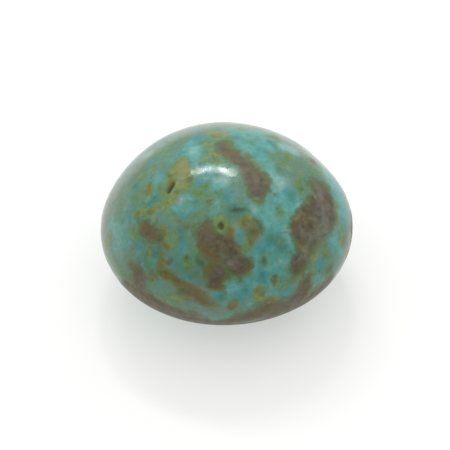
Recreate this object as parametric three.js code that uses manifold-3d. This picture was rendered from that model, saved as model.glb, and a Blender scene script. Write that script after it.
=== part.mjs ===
import * as THREE from 'three';
import { mergeVertices } from 'three/addons/utils/BufferGeometryUtils.js';
import Module from 'manifold-3d';

// A turquoise nugget: one rounded stone, ground and polished all over, lying on a small worn flat.
// Millimetres, +Z up. The origin is on the surface that it lies on, under the middle of its outline.
// +X is its longest way, and its best side faces -Y.

// The plain swell that the stone is bent from
const halfLength = 15.0;
const halfDepth = 13.6;
const halfHeight = 10.1;

// How the swell leaves a true ellipsoid, as shares of its radius
const topTaper = 0.06;    // slimmer above, fuller below
const backPeak = 0.016;   // drawn out at the back, flatter on both sides of that
const skew = 0.02;        // one diagonal a little longer than the other

// Soft flats (amount below 0) and swellings that grinding left, each with the way it faces:
// turn is in degrees from +X towards +Y, rise in degrees above level, tightness sets its width
const softFaces = [
  { turn: 31, rise: 23, amount: -0.032, tightness: 18 },
  { turn: 65, rise: 37, amount: -0.019, tightness: 18 },
  { turn: 156, rise: 19, amount: -0.010, tightness: 18 },
  { turn: 80, rise: -8, amount: -0.045, tightness: 6 },
  { turn: 120, rise: -18, amount: 0.030, tightness: 7 },
  { turn: 215, rise: -60, amount: -0.020, tightness: 8 },
  { turn: 20, rise: -40, amount: -0.030, tightness: 8 },
  { turn: 300, rise: -55, amount: -0.020, tightness: 6 },
];

// The flat under the stone: how much is worn off its lowest point, and the blend into the side
const wornDepth = 1.0;
const wornBlend = 0.5;

// Open pits in the matrix: the way each one faces, half its length and width, its depth, and
// heading, the angle of its length above level
const pits = [
  { turn: -158, rise: 61, halfLong: 0.95, halfWide: 0.32, depth: 0.30, heading: -51 },
  { turn: -80, rise: 62, halfLong: 0.90, halfWide: 0.26, depth: 0.20, heading: 0 },
  { turn: -95, rise: 54, halfLong: 0.55, halfWide: 0.45, depth: 0.25, heading: 70 },
  { turn: -120, rise: 28, halfLong: 0.60, halfWide: 0.36, depth: 0.25, heading: 80 },
  { turn: -88, rise: 34, halfLong: 0.34, halfWide: 0.28, depth: 0.22, heading: 0 },
  { turn: -40, rise: 38, halfLong: 0.48, halfWide: 0.26, depth: 0.22, heading: 75 },
  { turn: 48, rise: 12, halfLong: 0.80, halfWide: 0.34, depth: 0.28, heading: 20 },
  { turn: 104, rise: 26, halfLong: 0.50, halfWide: 0.38, depth: 0.25, heading: 60 },
  { turn: 148, rise: -12, halfLong: 0.95, halfWide: 0.30, depth: 0.30, heading: -25 },
  { turn: 186, rise: -22, halfLong: 0.45, halfWide: 0.32, depth: 0.22, heading: 40 },
];

const faceDetail = 15;      // 16 steps along each edge of the icosahedron
const pitAround = 14;
const pitDown = 8;
const nudge = 1e-3;         // step for finding which way the surface faces

function facing(turn, rise) {
  const around = THREE.MathUtils.degToRad(turn);
  const above = THREE.MathUtils.degToRad(rise);
  return new THREE.Vector3(
    Math.cos(above) * Math.cos(around),
    Math.cos(above) * Math.sin(around),
    Math.sin(above),
  );
}

const softWays = softFaces.map((face) => facing(face.turn, face.rise));

// The unworn stone: an ellipsoid whose radius is changed by a few low waves and the soft faces
function swell(way) {
  const { x, y, z } = way;
  let share = 1 - topTaper * z;
  share -= backPeak * (3 * x * x * y - y ** 3);
  share += skew * x * y;
  softFaces.forEach((face, i) => {
    share += face.amount * Math.exp(face.tightness * (way.dot(softWays[i]) - 1));
  });
  return new THREE.Vector3(halfLength * x, halfDepth * y, halfHeight * z).multiplyScalar(share);
}

// All closed shapes are used as vertices and triangles alone, with shared vertices merged
function bareShape(geometry) {
  geometry.deleteAttribute('normal');
  geometry.deleteAttribute('uv');
  return mergeVertices(geometry);
}

const unitBall = bareShape(new THREE.IcosahedronGeometry(1, faceDetail));
const ways = [];
for (let i = 0; i < unitBall.attributes.position.count; i += 1) {
  ways.push(new THREE.Vector3().fromBufferAttribute(unitBall.attributes.position, i).normalize());
}

const lowest = Math.min(...ways.map((way) => swell(way).z));

// Height above the flat: nothing under it, and a parabola where the side runs into it
function wornHeight(z) {
  const above = z - (lowest + wornDepth);
  if (above > wornBlend) return above;
  if (above < -wornBlend) return 0;
  return (above + wornBlend) ** 2 / (4 * wornBlend);
}

function wornPoint(way) {
  const point = swell(way);
  point.z = wornHeight(point.z);
  return point;
}

const wornBox = new THREE.Box3().setFromPoints(ways.map(wornPoint));
const middle = wornBox.getCenter(new THREE.Vector3()).setZ(0);

function surfacePoint(way) {
  return wornPoint(way).sub(middle);
}

// The way out of the surface, from two short steps along it
function surfaceNormal(way) {
  const level = new THREE.Vector3(-way.y, way.x, 0).normalize();
  const upward = new THREE.Vector3().crossVectors(way, level);
  const here = surfacePoint(way);
  const alongLevel = surfacePoint(way.clone().addScaledVector(level, nudge).normalize()).sub(here);
  const alongUp = surfacePoint(way.clone().addScaledVector(upward, nudge).normalize()).sub(here);
  return alongLevel.cross(alongUp).normalize();
}

// A pit is an ellipsoid set half into the surface, with its length turned to the heading
function pitShape(pit) {
  const way = facing(pit.turn, pit.rise);
  const outward = surfaceNormal(way);
  const level = new THREE.Vector3(0, 0, 1).cross(outward).normalize();
  const along = level.applyAxisAngle(outward, THREE.MathUtils.degToRad(pit.heading));
  const across = new THREE.Vector3().crossVectors(outward, along);
  const ball = new THREE.SphereGeometry(1, pitAround, pitDown);
  ball.rotateX(Math.PI / 2);
  ball.scale(pit.halfLong, pit.halfWide, pit.depth);
  ball.applyMatrix4(new THREE.Matrix4().makeBasis(along, across, outward).setPosition(surfacePoint(way)));
  return bareShape(ball);
}

const wasm = await Module();
wasm.setup();

function toSolid(geometry) {
  const mesh = new wasm.Mesh({
    numProp: 3,
    vertProperties: new Float32Array(geometry.attributes.position.array),
    triVerts: new Uint32Array(geometry.index.array),
  });
  return new wasm.Manifold(mesh);
}

function toGeometry(solid) {
  const mesh = solid.getMesh();
  const geometry = new THREE.BufferGeometry();
  geometry.setAttribute('position', new THREE.BufferAttribute(new Float32Array(mesh.vertProperties), 3));
  geometry.setIndex(new THREE.BufferAttribute(new Uint32Array(mesh.triVerts), 1));
  geometry.computeVertexNormals();
  return geometry;
}

function nuggetShape() {
  const body = unitBall.clone();
  ways.forEach((way, i) => {
    const point = surfacePoint(way);
    body.attributes.position.setXYZ(i, point.x, point.y, point.z);
  });
  const pitted = pits.reduce((solid, pit) => solid.subtract(toSolid(pitShape(pit))), toSolid(body));
  return toGeometry(pitted);
}

const polishedTurquoise = new THREE.MeshStandardMaterial({ color: 0x5f9b91, roughness: 0.3, metalness: 0 });

const nugget = new THREE.Mesh(nuggetShape(), polishedTurquoise);
nugget.name = 'turquoise_nugget';

const stone = new THREE.Group();
stone.add(nugget);

export default stone;
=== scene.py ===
import math

import bpy
import numpy as np
from mathutils import Matrix, Quaternion, Vector


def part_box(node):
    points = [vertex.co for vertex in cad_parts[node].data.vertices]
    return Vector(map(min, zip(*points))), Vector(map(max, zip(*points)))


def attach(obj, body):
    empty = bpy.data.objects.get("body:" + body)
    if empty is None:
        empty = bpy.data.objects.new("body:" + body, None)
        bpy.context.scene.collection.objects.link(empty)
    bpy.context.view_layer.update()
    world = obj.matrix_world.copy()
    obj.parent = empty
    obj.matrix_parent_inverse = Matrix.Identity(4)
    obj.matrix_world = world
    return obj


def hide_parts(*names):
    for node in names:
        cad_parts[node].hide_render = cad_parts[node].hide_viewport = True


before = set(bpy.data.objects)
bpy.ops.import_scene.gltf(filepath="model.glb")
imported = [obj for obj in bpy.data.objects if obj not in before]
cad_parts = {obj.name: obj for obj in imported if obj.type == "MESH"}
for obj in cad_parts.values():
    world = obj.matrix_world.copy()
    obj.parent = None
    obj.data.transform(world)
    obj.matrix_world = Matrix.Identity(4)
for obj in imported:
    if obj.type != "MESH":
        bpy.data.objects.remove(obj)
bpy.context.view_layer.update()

# A turquoise nugget: one rounded stone, ground and polished all over, lying on a small worn flat.
# Its form is worked out in millimetres, in the CAD frame, and turned to metres when the mesh is made.

nuggetLow, nuggetHigh = (np.array(corner) * 1000 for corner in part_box("turquoise_nugget"))
mm = 0.001
print("frame loaded, stone", (nuggetHigh - nuggetLow).round(2), "mm")


# Camera

cameraSetup = {
    "elevation": 50.0,       # degrees above level, looking along +Y
    "lens": 120.0,           # mm
    "sensor": 36.0,          # mm
    "distance": 178.9,       # mm from the middle of the stone's box
    "panRight": -0.20,       # mm that the view's centre lies right of that middle
    "panUp": -0.68,          # mm that it lies up the picture from it
    "pictureSize": 450.0,    # px, square
    "clip": (0.005, 20.0),   # m, nearest and furthest that is drawn
}


def viewAxes(setup):
    # right, up and back of the camera, as unit vectors, and the place of its lens in mm
    lift = math.radians(setup["elevation"])
    right = np.array([1.0, 0.0, 0.0])
    up = np.array([0.0, math.sin(lift), math.cos(lift)])
    back = np.array([0.0, -math.cos(lift), math.sin(lift)])
    middle = (nuggetLow + nuggetHigh) / 2
    eye = middle + setup["panRight"] * right + setup["panUp"] * up + setup["distance"] * back
    return right, up, back, eye


def makeCamera(setup):
    right, up, back, eye = viewAxes(setup)
    data = bpy.data.cameras.new("camera")
    data.lens = setup["lens"]
    data.sensor_width = setup["sensor"]
    data.clip_start, data.clip_end = setup["clip"]
    camera = bpy.data.objects.new("camera", data)
    bpy.context.scene.collection.objects.link(camera)
    turn = np.column_stack([right, up, back])
    camera.matrix_world = Matrix.Translation(Vector(eye * mm)) @ Matrix(turn.tolist()).to_4x4()
    bpy.context.scene.camera = camera


def pictureOf(points, setup):
    # pixel of each point: middle of the picture plus lens times sideways offset over depth
    right, up, back, eye = viewAxes(setup)
    offset = points - eye
    depth = -(offset @ back)
    focal = setup["pictureSize"] * setup["lens"] / setup["sensor"]
    across = setup["pictureSize"] / 2 + focal * (offset @ right) / depth
    down = setup["pictureSize"] / 2 - focal * (offset @ up) / depth
    return np.column_stack([across, down])


makeCamera(cameraSetup)
print("camera placed")


# Form of the stone

stoneForm = {
    "halfLength": 15.0,      # mm, the swell along X before the base is worn flat
    "halfDepth": 13.6,
    "halfHeight": 10.1,
    "topTaper": 0.06,        # slimmer above, fuller below
    "backPeak": 0.016,       # drawn out at the back, flatter on both sides of that
    "skew": 0.02,            # one diagonal a little longer than the other
    "softFaces": [           # turn and rise in degrees, amount as a share of the radius, tightness
        (31, 23, -0.032, 18),
        (65, 37, -0.019, 18),
        (156, 19, -0.010, 18),
        (80, -8, -0.045, 6),
        (120, -18, 0.030, 7),
        (215, -60, -0.020, 8),
        (20, -40, -0.030, 8),
        (300, -55, -0.020, 6),
    ],
    "wornDepth": 1.0,        # mm worn off the lowest point
    "wornBlend": 0.5,        # mm over which the flat runs into the side
    "steps": 126,            # grid squares along each edge of the cube that the ball is made from
}


def wayOf(turn, rise):
    around = math.radians(turn)
    above = math.radians(rise)
    level = math.cos(above)
    return np.array([level * math.cos(around), level * math.sin(around), math.sin(above)])


def unitRows(rows):
    return rows / np.linalg.norm(rows, axis=-1, keepdims=True)


def swell(ways, form):
    # ellipsoid along the unit ways, its radius times 1 plus low waves and rounded faces:
    # share = 1 - taper z - peak (3 x x y - y y y) + skew x y + amounts exp(tightness (cos angle - 1))
    x, y, z = ways.T
    share = 1 - form["topTaper"] * z - form["backPeak"] * (3 * x * x * y - y ** 3)
    share = share + form["skew"] * x * y
    for turn, rise, amount, tightness in form["softFaces"]:
        share = share + amount * np.exp(tightness * (ways @ wayOf(turn, rise) - 1))
    halves = np.array([form["halfLength"], form["halfDepth"], form["halfHeight"]])
    return ways * halves * share[:, None]


def wornHeight(above, blend):
    # height above the flat: 0 under it, a parabola within the blend, unchanged over it
    curved = (above + blend) ** 2 / (4 * blend)
    return np.where(above > blend, above, np.where(above < -blend, 0.0, curved))


def cubeBall(steps):
    # six square grids of two angles a and b from -45 to 45 degrees, where the way is
    # (1, tan a, tan b) turned to each face of a cube, with the shared edges merged
    angle = np.linspace(-math.pi / 4, math.pi / 4, steps + 1)
    a, b = np.meshgrid(np.tan(angle), np.tan(angle), indexing="ij")
    corner = np.arange((steps + 1) ** 2).reshape(steps + 1, steps + 1)
    square = [corner[:-1, :-1], corner[1:, :-1], corner[1:, 1:], corner[:-1, 1:]]
    quads = np.stack(square, -1).reshape(-1, 4)
    ways = []
    faces = []
    for axis in range(3):
        for side in (1.0, -1.0):
            outward = np.roll([side, 0.0, 0.0], axis)
            along = np.roll([0.0, 1.0, 0.0], axis)
            across = np.cross(outward, along)
            grid = outward + a[..., None] * along + b[..., None] * across
            faces.append(quads + len(ways) * corner.size)
            ways.append(grid.reshape(-1, 3))
    ways = unitRows(np.concatenate(ways))
    faces = np.concatenate(faces)
    first, merged = np.unique(ways.round(6), axis=0, return_index=True, return_inverse=True)[1:]
    return ways[first], merged.reshape(-1)[faces]


ballWays, stoneQuads = cubeBall(stoneForm["steps"])
rawPoints = swell(ballWays, stoneForm)
wornLevel = rawPoints[:, 2].min() + stoneForm["wornDepth"]
rawMiddle = (rawPoints.min(0) + rawPoints.max(0)) / 2


def surfacePoints(ways):
    # the swell with its base worn flat, put where the CAD solid is
    points = swell(ways, stoneForm)
    points[:, :2] += ((nuggetLow + nuggetHigh) / 2 - rawMiddle)[:2]
    points[:, 2] = nuggetLow[2] + wornHeight(points[:, 2] - wornLevel, stoneForm["wornBlend"])
    return points


def surfaceNormals(ways):
    # cross product of two short steps along the surface, the first one level except near the poles
    step = 1e-3
    nearPole = 0.9
    helper = np.where(np.abs(ways[:, 2:]) < nearPole, [[0.0, 0.0, 1.0]], [[1.0, 0.0, 0.0]])
    first = unitRows(np.cross(helper, ways))
    second = np.cross(ways, first)
    here = surfacePoints(ways)
    alongFirst = surfacePoints(unitRows(ways + step * first)) - here
    alongSecond = surfacePoints(unitRows(ways + step * second)) - here
    return unitRows(np.cross(alongFirst, alongSecond))


smoothPoints = surfacePoints(ballWays)
smoothNormals = surfaceNormals(ballWays)
print("form worked out:", len(ballWays), "points,", len(stoneQuads), "squares")


# Noise, used for ragged edges and low relief

def latticeNoise(points, cell, seed):
    # gradient noise: a random slope at each corner of a lattice of cells, blended across the cell
    # with 6 t^5 - 15 t^4 + 10 t^3
    repeat = 256             # cells after which the slopes come round again
    gain = 1.6               # brings it to about -1 to 1
    rng = np.random.default_rng(seed)
    slopes = unitRows(rng.normal(size=(repeat, 3)))
    shuffle = rng.permutation(repeat)
    place = points / cell
    base = np.floor(place).astype(int)
    inside = place - base
    fade = inside ** 3 * (inside * (inside * 6 - 15) + 10)
    total = np.zeros(len(points))
    for ix in (0, 1):
        for iy in (0, 1):
            for iz in (0, 1):
                corner = np.array([ix, iy, iz])
                x, y, z = ((base + corner) % repeat).T
                slope = slopes[shuffle[(shuffle[(shuffle[x] + y) % repeat] + z) % repeat]]
                weight = np.where(corner == 1, fade, 1 - fade).prod(1)
                total += weight * ((inside - corner) * slope).sum(1)
    return gain * total


def stirred(points, amount, cell, seed):
    # points pushed aside by three noises, so that what is drawn on them gets a wandering edge
    return points + amount * np.column_stack([latticeNoise(points, cell, seed + k) for k in range(3)])


# Markings. Each mineral is laid over the ones before it. Its two colours are mixed by noise of
# mottleSize, and cover what is under them by strength; soft is half the width of the edge, and
# ragged how far noise of raggedSize moves it. hidden is how many strokes lie on the sides that
# aren't seen, and their least and greatest radius. All sizes are in mm.

mineralLayers = {
    "greenCast": {"colours": ("#64785a", "#577e66"), "mottleSize": 1.1, "strength": 0.8,
                  "soft": 1.0, "ragged": 0.8, "raggedSize": 1.8, "hidden": (18, 0.7, 1.5)},
    # greyClayAndPaintedRimHaze holds grey clay flecks and strips, and also a grey band painted along
    # the rims as the camera sees them, standing in for the greyish haze that the rims get from
    # reflection
    "greyClayAndPaintedRimHaze": {"colours": ("#6d7264", "#7e8276"), "mottleSize": 0.9, "strength": 0.8,
                 "soft": 0.9, "ragged": 0.6, "raggedSize": 1.2, "hidden": (8, 0.4, 0.8)},
    "blueTeal": {"colours": ("#2f7c82", "#458e94"), "mottleSize": 0.8, "strength": 0.75,
                 "soft": 0.5, "ragged": 0.6, "raggedSize": 1.0, "hidden": (28, 0.4, 0.9)},
    "freshTurquoise": {"colours": ("#4c958d", "#64a79f"), "mottleSize": 0.8, "strength": 0.75,
                       "soft": 0.7, "ragged": 0.8, "raggedSize": 1.2, "hidden": (28, 0.6, 1.2)},
    "deepTeal": {"colours": ("#2f6b5c", "#3b786a"), "mottleSize": 0.6, "strength": 0.75,
                 "soft": 0.45, "ragged": 0.5, "raggedSize": 0.8, "hidden": (16, 0.3, 0.7)},
    "paleBloom": {"colours": ("#83b0a8", "#9bbdb5"), "mottleSize": 0.5, "strength": 0.6,
                  "soft": 0.5, "ragged": 0.4, "raggedSize": 0.7, "hidden": (10, 0.3, 0.6)},
    "seaGreen": {"colours": ("#4b7650", "#62895f"), "mottleSize": 0.6, "strength": 0.75,
                 "soft": 0.45, "ragged": 0.5, "raggedSize": 0.8, "hidden": (18, 0.4, 0.9)},
    "mossGreen": {"colours": ("#527034", "#668640"), "mottleSize": 0.5, "strength": 0.8,
                  "soft": 0.35, "ragged": 0.35, "raggedSize": 0.6, "hidden": (14, 0.3, 0.6)},
    "oliveCrust": {"colours": ("#65732c", "#7f8c46"), "mottleSize": 0.6, "strength": 0.88,
                   "soft": 0.34, "ragged": 0.45, "raggedSize": 0.6, "hidden": (28, 0.4, 0.9)},
    "darkOlive": {"colours": ("#435028", "#566132"), "mottleSize": 0.5, "strength": 0.8,
                  "soft": 0.35, "ragged": 0.35, "raggedSize": 0.5, "hidden": (16, 0.25, 0.6)},
    "ochreCrust": {"colours": ("#5b5928", "#71693a"), "mottleSize": 0.5, "strength": 0.82,
                   "soft": 0.42, "ragged": 0.45, "raggedSize": 0.6, "hidden": (16, 0.3, 0.7)},
    "brownMatrix": {"colours": ("#4a4227", "#645b41"), "mottleSize": 0.8, "strength": 0.97,
                    "soft": 0.5, "ragged": 0.5, "raggedSize": 0.7, "hidden": (17, 0.6, 1.4)},
    "plumMatrix": {"colours": ("#4c443a", "#685f53"), "mottleSize": 0.7, "strength": 0.8,
                   "soft": 0.45, "ragged": 0.45, "raggedSize": 0.6, "hidden": (14, 0.4, 0.9)},
    "rustStain": {"colours": ("#655624", "#664f2f"), "mottleSize": 0.5, "strength": 0.62,
                  "soft": 0.4, "ragged": 0.4, "raggedSize": 0.5, "hidden": (20, 0.25, 0.5)},
    "tanFleck": {"colours": ("#8c8856", "#877b5e"), "mottleSize": 0.4, "strength": 0.6,
                 "soft": 0.3, "ragged": 0.3, "raggedSize": 0.35, "hidden": (20, 0.15, 0.35)},
    "darkPit": {"colours": ("#2f2a12", "#3c3418"), "mottleSize": 0.3, "strength": 0.85,
                "soft": 0.2, "ragged": 0.2, "raggedSize": 0.3, "hidden": (0, 0.12, 0.25)},
    # chalkAndPaintedSheen is mostly painted light: pale haze painted along the rims, painted sheen over
    # the brown patches and the bar, and a painted highlight and painted glints; in part a chalky bloom
    # where the soft matrix takes less polish
    "chalkAndPaintedSheen": {"colours": ("#7d9082", "#8d9a8c"), "mottleSize": 0.8, "strength": 0.38,
                  "soft": 1.0, "ragged": 0.8, "raggedSize": 1.5, "hidden": (10, 0.6, 1.4)},
}

# The strokes on the side that is seen, listed one by one. Each is a chain of places, an x and y in
# pixels of the picture and a radius in mm: it is cast onto the stone, and the mineral covers what
# lies within that radius. A radius of about 0 leaves a faint mark, as wide as the edge is soft.

mineralStrokes = {
    "greenCast": {
        "leftShoulder": [(150, 157, 1.6), (140, 167, 1.8), (130, 178, 1.8), (122, 192, 1.8),
                         (117, 205, 1.6)],
        "leftMiddle": [(139, 196, 0.9), (133, 205, 0.8)],
        "leftLow": [(120, 258, 1.4), (124, 270, 1.4), (130, 280, 1.0)],
        "leftField": [(112, 216, 0.5), (116, 232, 0.6), (120, 246, 0.6)],
        "leftCentre": [(150, 244, 0.9), (158, 248, 1.1), (166, 252, 0.8)],
        "leftIsland": [(147, 262, 0.4), (152, 270, 0.4), (150, 284, 0.7), (158, 290, 0.8),
                       (168, 290, 0.7)],
        "lowerGreen": [(175, 256, 0.4), (180, 266, 0.5), (178, 272, 0.5)],
        "roundLeftPatch": [(136, 228, 0.8), (148, 220, 0.7), (163, 226, 0.9), (172, 234, 1.0),
                           (180, 230, 0.9), (186, 224, 0.8), (192, 218, 0.7), (193, 230, 0.7)],
        "centreTop": [(196, 190, 0.9), (206, 196, 1.0), (200, 210, 0.9), (196, 222, 0.9),
                      (198, 232, 0.5)],
        "ring": [(214, 214, 0.8), (224, 216, 0.9), (228, 224, 0.7)],
        "besideBar": [(234, 186, 0.3), (240, 180, 0.6), (244, 191, 0.6), (246, 200, 0.4)],
        "upperLeft": [(156, 168, 0.7), (163, 163, 0.8), (165, 172, 0.5)],
        "upperLeftLow": [(144, 178, 0.6), (143, 186, 0.6)],
        "besideHoney": [(172, 226, 0.5), (175, 238, 0.8), (173, 249, 0.6)],
        "underChain": [(163, 195, 0.5), (167, 211, 0.7), (172, 216, 0.4)],
        "lowField": [(192, 242, 0.6), (194, 252, 0.7), (191, 266, 0.8), (193, 276, 0.8),
                     (200, 281, 0.4)],
        "lowStrip": [(182, 302, 0.5), (208, 293, 0.2), (219, 310, 0.6), (243, 306, 0.6),
                     (251, 300, 0.5)],
        "upperRight": [(273, 155, 1.0), (280, 162, 1.2), (289, 160, 1.3)],
        "column": [(300, 165, 1.2), (299, 180, 1.1), (303, 190, 0.8)],
        "shoulder": [(309, 168, 1.4), (317, 172, 1.4), (325, 180, 1.0), (331, 188, 0.8)],
        "lowCentre": [(200, 258, 1.0), (203, 266, 0.9), (196, 272, 0.8)],
        "besideCentre": [(238, 248, 0.5), (244, 248, 0.9), (250, 246, 0.6)],
        "rightLower": [(322, 240, 0.9), (326, 250, 1.1), (332, 260, 1.1), (328, 270, 0.9)],
        "rightRim": [(341, 228, 1.0), (343, 240, 1.2)],
        "foot": [(300, 272, 1.2), (292, 280, 1.0), (287, 288, 0.7)],
        "topRim": [(170, 148, 1.3), (186, 138, 1.4), (200, 132, 1.4), (225, 130, 1.4), (245, 130, 1.3)],
        "island": [(162, 295, 1.0), (172, 302, 0.9), (190, 306, 0.9)],
        "blobFoot": [(228, 278, 0.7), (240, 279, 0.6), (252, 272, 0.7)],
        "rimBelt": [(262, 299, 0.9), (275, 299, 0.9)],
    },
    "greyClayAndPaintedRimHaze": {
        # westRim, topRim, eastTop and eastRim are painted rim haze, a grey band along the silhouette
        "westRim": [(149, 151, 0.4), (138, 161, 0.5), (128, 172, 0.6), (119, 185, 0.8), (112, 198, 1.0),
                    (107, 211, 1.1), (104, 225, 1.2), (104, 240, 1.1), (108, 254, 1.0), (114, 267, 0.9),
                    (121, 280, 0.9)],
        "topRim": [(166, 140, 0.5), (186, 131, 0.4), (206, 125, 0.7), (225, 124, 0.8), (245, 125, 0.7),
                   (262, 129, 0.8)],
        "eastTop": [(285, 138, 1.0), (300, 147, 1.0), (308, 154, 1.0)],
        "eastRim": [(349, 215, 1.0), (351, 228, 1.2), (349, 242, 1.2), (344, 258, 1.2)],
        "greyFleck": [(167, 259, 0.3), (167, 268, 0.2)], "strip": [(203, 285, 0.2), (209, 291, 0.1)],
        "lowStrip": [(187, 309, 0.3), (200, 311, 0.4), (213, 314, 0.2), (226, 307, 0.1),
                     (243, 309, 0.2)],
    },
    "blueTeal": {
        "band": [(254, 148, 0.7), (260, 152, 0.9), (262, 158, 0.7)],
        "topLeft": [(197, 137, 1.0), (192, 144, 0.6), (183, 150, 0.7)],
        "leftOfRing": [(185, 214, 0.5), (179, 214, 0.4)], "lowEye": [(184, 244, 0.5), (182, 250, 0.3)],
        "leftEye": [(140, 246, 0.4), (139, 250, 0.3)], "deepBlue": [(265, 245, 0.7), (258, 251, 0.5)],
        "lowBlue": [(262, 275, 0.6), (264, 281, 0.5)], "rightPool": [(320, 263, 0.65), (321, 268, 0.5)],
        "rightStrip": [(333, 239, 0.6), (334, 248, 0.5)],
        "belowPatch": [(288, 290, 0.6), (283, 296, 0.5)], "barLeft": [(230, 193, 0.6), (229, 199, 0.4)],
        "rightRim": [(341, 212, 0.8), (343, 222, 0.9)],
        "lowMiddle": [(240, 288, 0.7), (248, 293, 0.6), (240, 300, 0.6)],
        "lowLeft": [(186, 277, 0.2), (195, 279, 0.3)], "rightField": [(286, 187, 0.6), (290, 200, 0.4)],
        "underBar": [(275, 196, 0.7), (297, 203, 0.5)],
    },
    "freshTurquoise": {
        "topBand": [(243, 145, 1.0), (266, 162, 0.8), (271, 171, 1.0), (278, 180, 1.2)],
        "topCap": [(236, 131, 1.4), (250, 134, 1.4), (262, 136, 1.3), (268, 147, 1.0)],
        "rightField": [(270, 190, 1.0), (266, 203, 1.1), (266, 216, 1.4), (266, 226, 1.6),
                       (272, 226, 1.3)],
        "rightMiddle": [(290, 204, 1.5), (284, 218, 1.2), (286, 232, 1.0), (289, 244, 0.8)],
        "rightOfPatch": [(338, 214, 0.6), (339, 230, 0.8), (335, 240, 0.8), (341, 248, 0.7)],
        "overSmallPatch": [(247, 207, 0.2), (256, 208, 0.7)],
        "lowerMiddle": [(232, 286, 0.9), (244, 284, 0.9), (252, 282, 0.7)],
        "lowerRight": [(272, 262, 0.9), (276, 270, 0.8), (272, 292, 0.4), (252, 300, 0.3)],
        "besidePatch": [(284, 256, 0.5), (283, 264, 0.7), (281, 272, 0.5)],
        "underBlob": [(256, 258, 0.6), (258, 266, 0.7)],
        "rightRim": [(328, 176, 1.1), (336, 188, 1.2), (342, 202, 1.3), (345, 214, 1.2)],
        "middle": [(190, 197, 0.6), (184, 206, 0.6), (196, 204, 0.5)],
        # glow is a painted glow of reflected light just under the highlight arch
        "paintedGlowUnderHighlight": [(215, 186, 0.7), (224, 182, 0.6)], "leftUp": [(157, 178, 0.45), (160, 183, 0.4)],
        "topLeft": [(190, 146, 0.8), (196, 156, 0.9), (200, 149, 0.7)],
        "leftField": [(112, 222, 0.8), (118, 235, 1.0), (118, 250, 0.9)],
    },
    "deepTeal": {
        "rightHollow": [(271, 238, 0.6), (278, 240, 0.8), (283, 248, 0.6)],
        "upperRight": [(292, 195, 0.5), (291, 199, 0.4)],
        "topLine": [(270, 142, 0.4), (275, 146, 0.35)], "leftGreen": [(152, 247, 0.5), (156, 250, 0.7)],
        "leftShade": [(150, 204, 0.5), (155, 200, 0.6)],
        "smallPatchEdge": [(257, 219, 0.3), (262, 227, 0.3)],
        "lowShade": [(198, 258, 0.4), (202, 264, 0.4)],
        "dashRound": [(232, 210, 0.7), (238, 211, 0.8), (247, 211, 0.6)],
        "arc": [(282, 172, 0.5), (292, 174, 0.4)], "leftOfCentre": [(183, 228, 0.5), (180, 236, 0.5)],
        # underGlow is a thin dark line painted along the underside of the highlight arch, a painted gap
        # in the reflection
        "underGlow": [(208, 174, 0.14), (216, 174, 0.16), (223, 176, 0.16), (229, 179, 0.16),
                      (234, 184, 0.14)],
    },
    "paleBloom": {
        "bandSpot": [(279, 182, 0.8), (279, 189, 0.4), (271, 173, 0.3)],
        # glow is a painted glow of reflected light just under the highlight arch
        "topRight": [(285, 147, 0.9), (294, 151, 0.9)], "paintedGlowUnderHighlight": [(218, 180, 0.5), (224, 181, 0.6)],
        "strip": [(186, 280, 0.0), (197, 286, 0.05), (206, 291, 0.0)],
        "patchEdge": [(286, 228, 0.3), (287, 240, 0.2)],
        "eastField": [(299, 205, 0.3), (297, 212, 0.2)],
    },
    "seaGreen": {
        "upperRight": [(269, 156, 0.3), (277, 160, 0.4), (284, 163, 0.6), (289, 166, 0.6)],
        "column": [(298, 183, 0.6), (302, 190, 0.45)],
        "topGreen": [(228, 139, 0.5), (233, 146, 0.4), (239, 151, 0.3)],
        "leftOlive": [(146, 170, 0.5), (152, 167, 0.5)],
        "leftGreen": [(139, 196, 0.7), (133, 200, 0.6)],
        "mottleHigh": [(197, 194, 0.6), (205, 187, 0.5)],
        "mottleLow": [(200, 214, 0.5), (196, 221, 0.5)],
        "mottleMid": [(206, 196, 0.5), (208, 203, 0.5), (203, 200, 0.4)],
        "ringGreen": [(213, 219, 0.5), (218, 217, 0.5), (228, 220, 0.5)],
        "leftRim": [(112, 262, 1.2), (120, 275, 1.2)], "lowDark": [(187, 258, 0.6), (189, 266, 0.6)],
        "rightGreen": [(318, 250, 0.5), (323, 244, 0.6), (326, 252, 0.7)],
        "rightRim": [(338, 226, 0.7), (342, 232, 0.9)],
        "foot": [(300, 270, 0.6), (294, 277, 0.5), (287, 283, 0.4)],
        "blobRing": [(229, 277, 0.45), (240, 279, 0.35)], "barEdge": [(244, 182, 0.1), (248, 190, 0.2)],
        "armSide": [(196, 246, 0.45), (198, 254, 0.4)], "shoulder": [(312, 170, 0.7), (318, 173, 0.7)],
        "island": [(160, 297, 0.6), (168, 296, 0.7), (174, 301, 0.5)],
        "upperLeft": [(160, 152, 1.0), (172, 145, 0.9)],
        "besideTopDot": [(206, 143, 0.5), (208, 152, 0.4), (205, 160, 0.5)],
        "rimDash": [(268, 136, 0.6), (275, 137, 0.8)],
        "underChain": [(167, 212, 0.45), (162, 195, 0.2)],
        "lowField": [(194, 245, 0.3), (194, 256, 0.4)],
        "besideHoney": [(176, 238, 0.5), (173, 246, 0.3)],
        "barFoot": [(257, 202, 0.5), (262, 202, 0.4)], "leftPatch": [(131, 230, 0.6), (136, 236, 0.6)],
        "eastDotRound": [(276, 279, 0.5), (277, 286, 0.4)],
    },
    "mossGreen": {
        "sideFlash": [(160, 187, 0.55), (163, 193, 0.3)], "small": [(206, 186, 0.4), (209, 183, 0.25)],
        "cove": [(195, 194, 0.4), (201, 195, 0.35)], "column": [(297, 183, 0.45), (299, 188, 0.3)],
        "underSmallPatch": [(241, 249, 0.3), (246, 247, 0.45)],
        "patchNorth": [(177, 163, 0.35), (183, 158, 0.45)],
        "upperRight": [(289, 154, 0.4), (283, 165, 0.15)],
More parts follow.
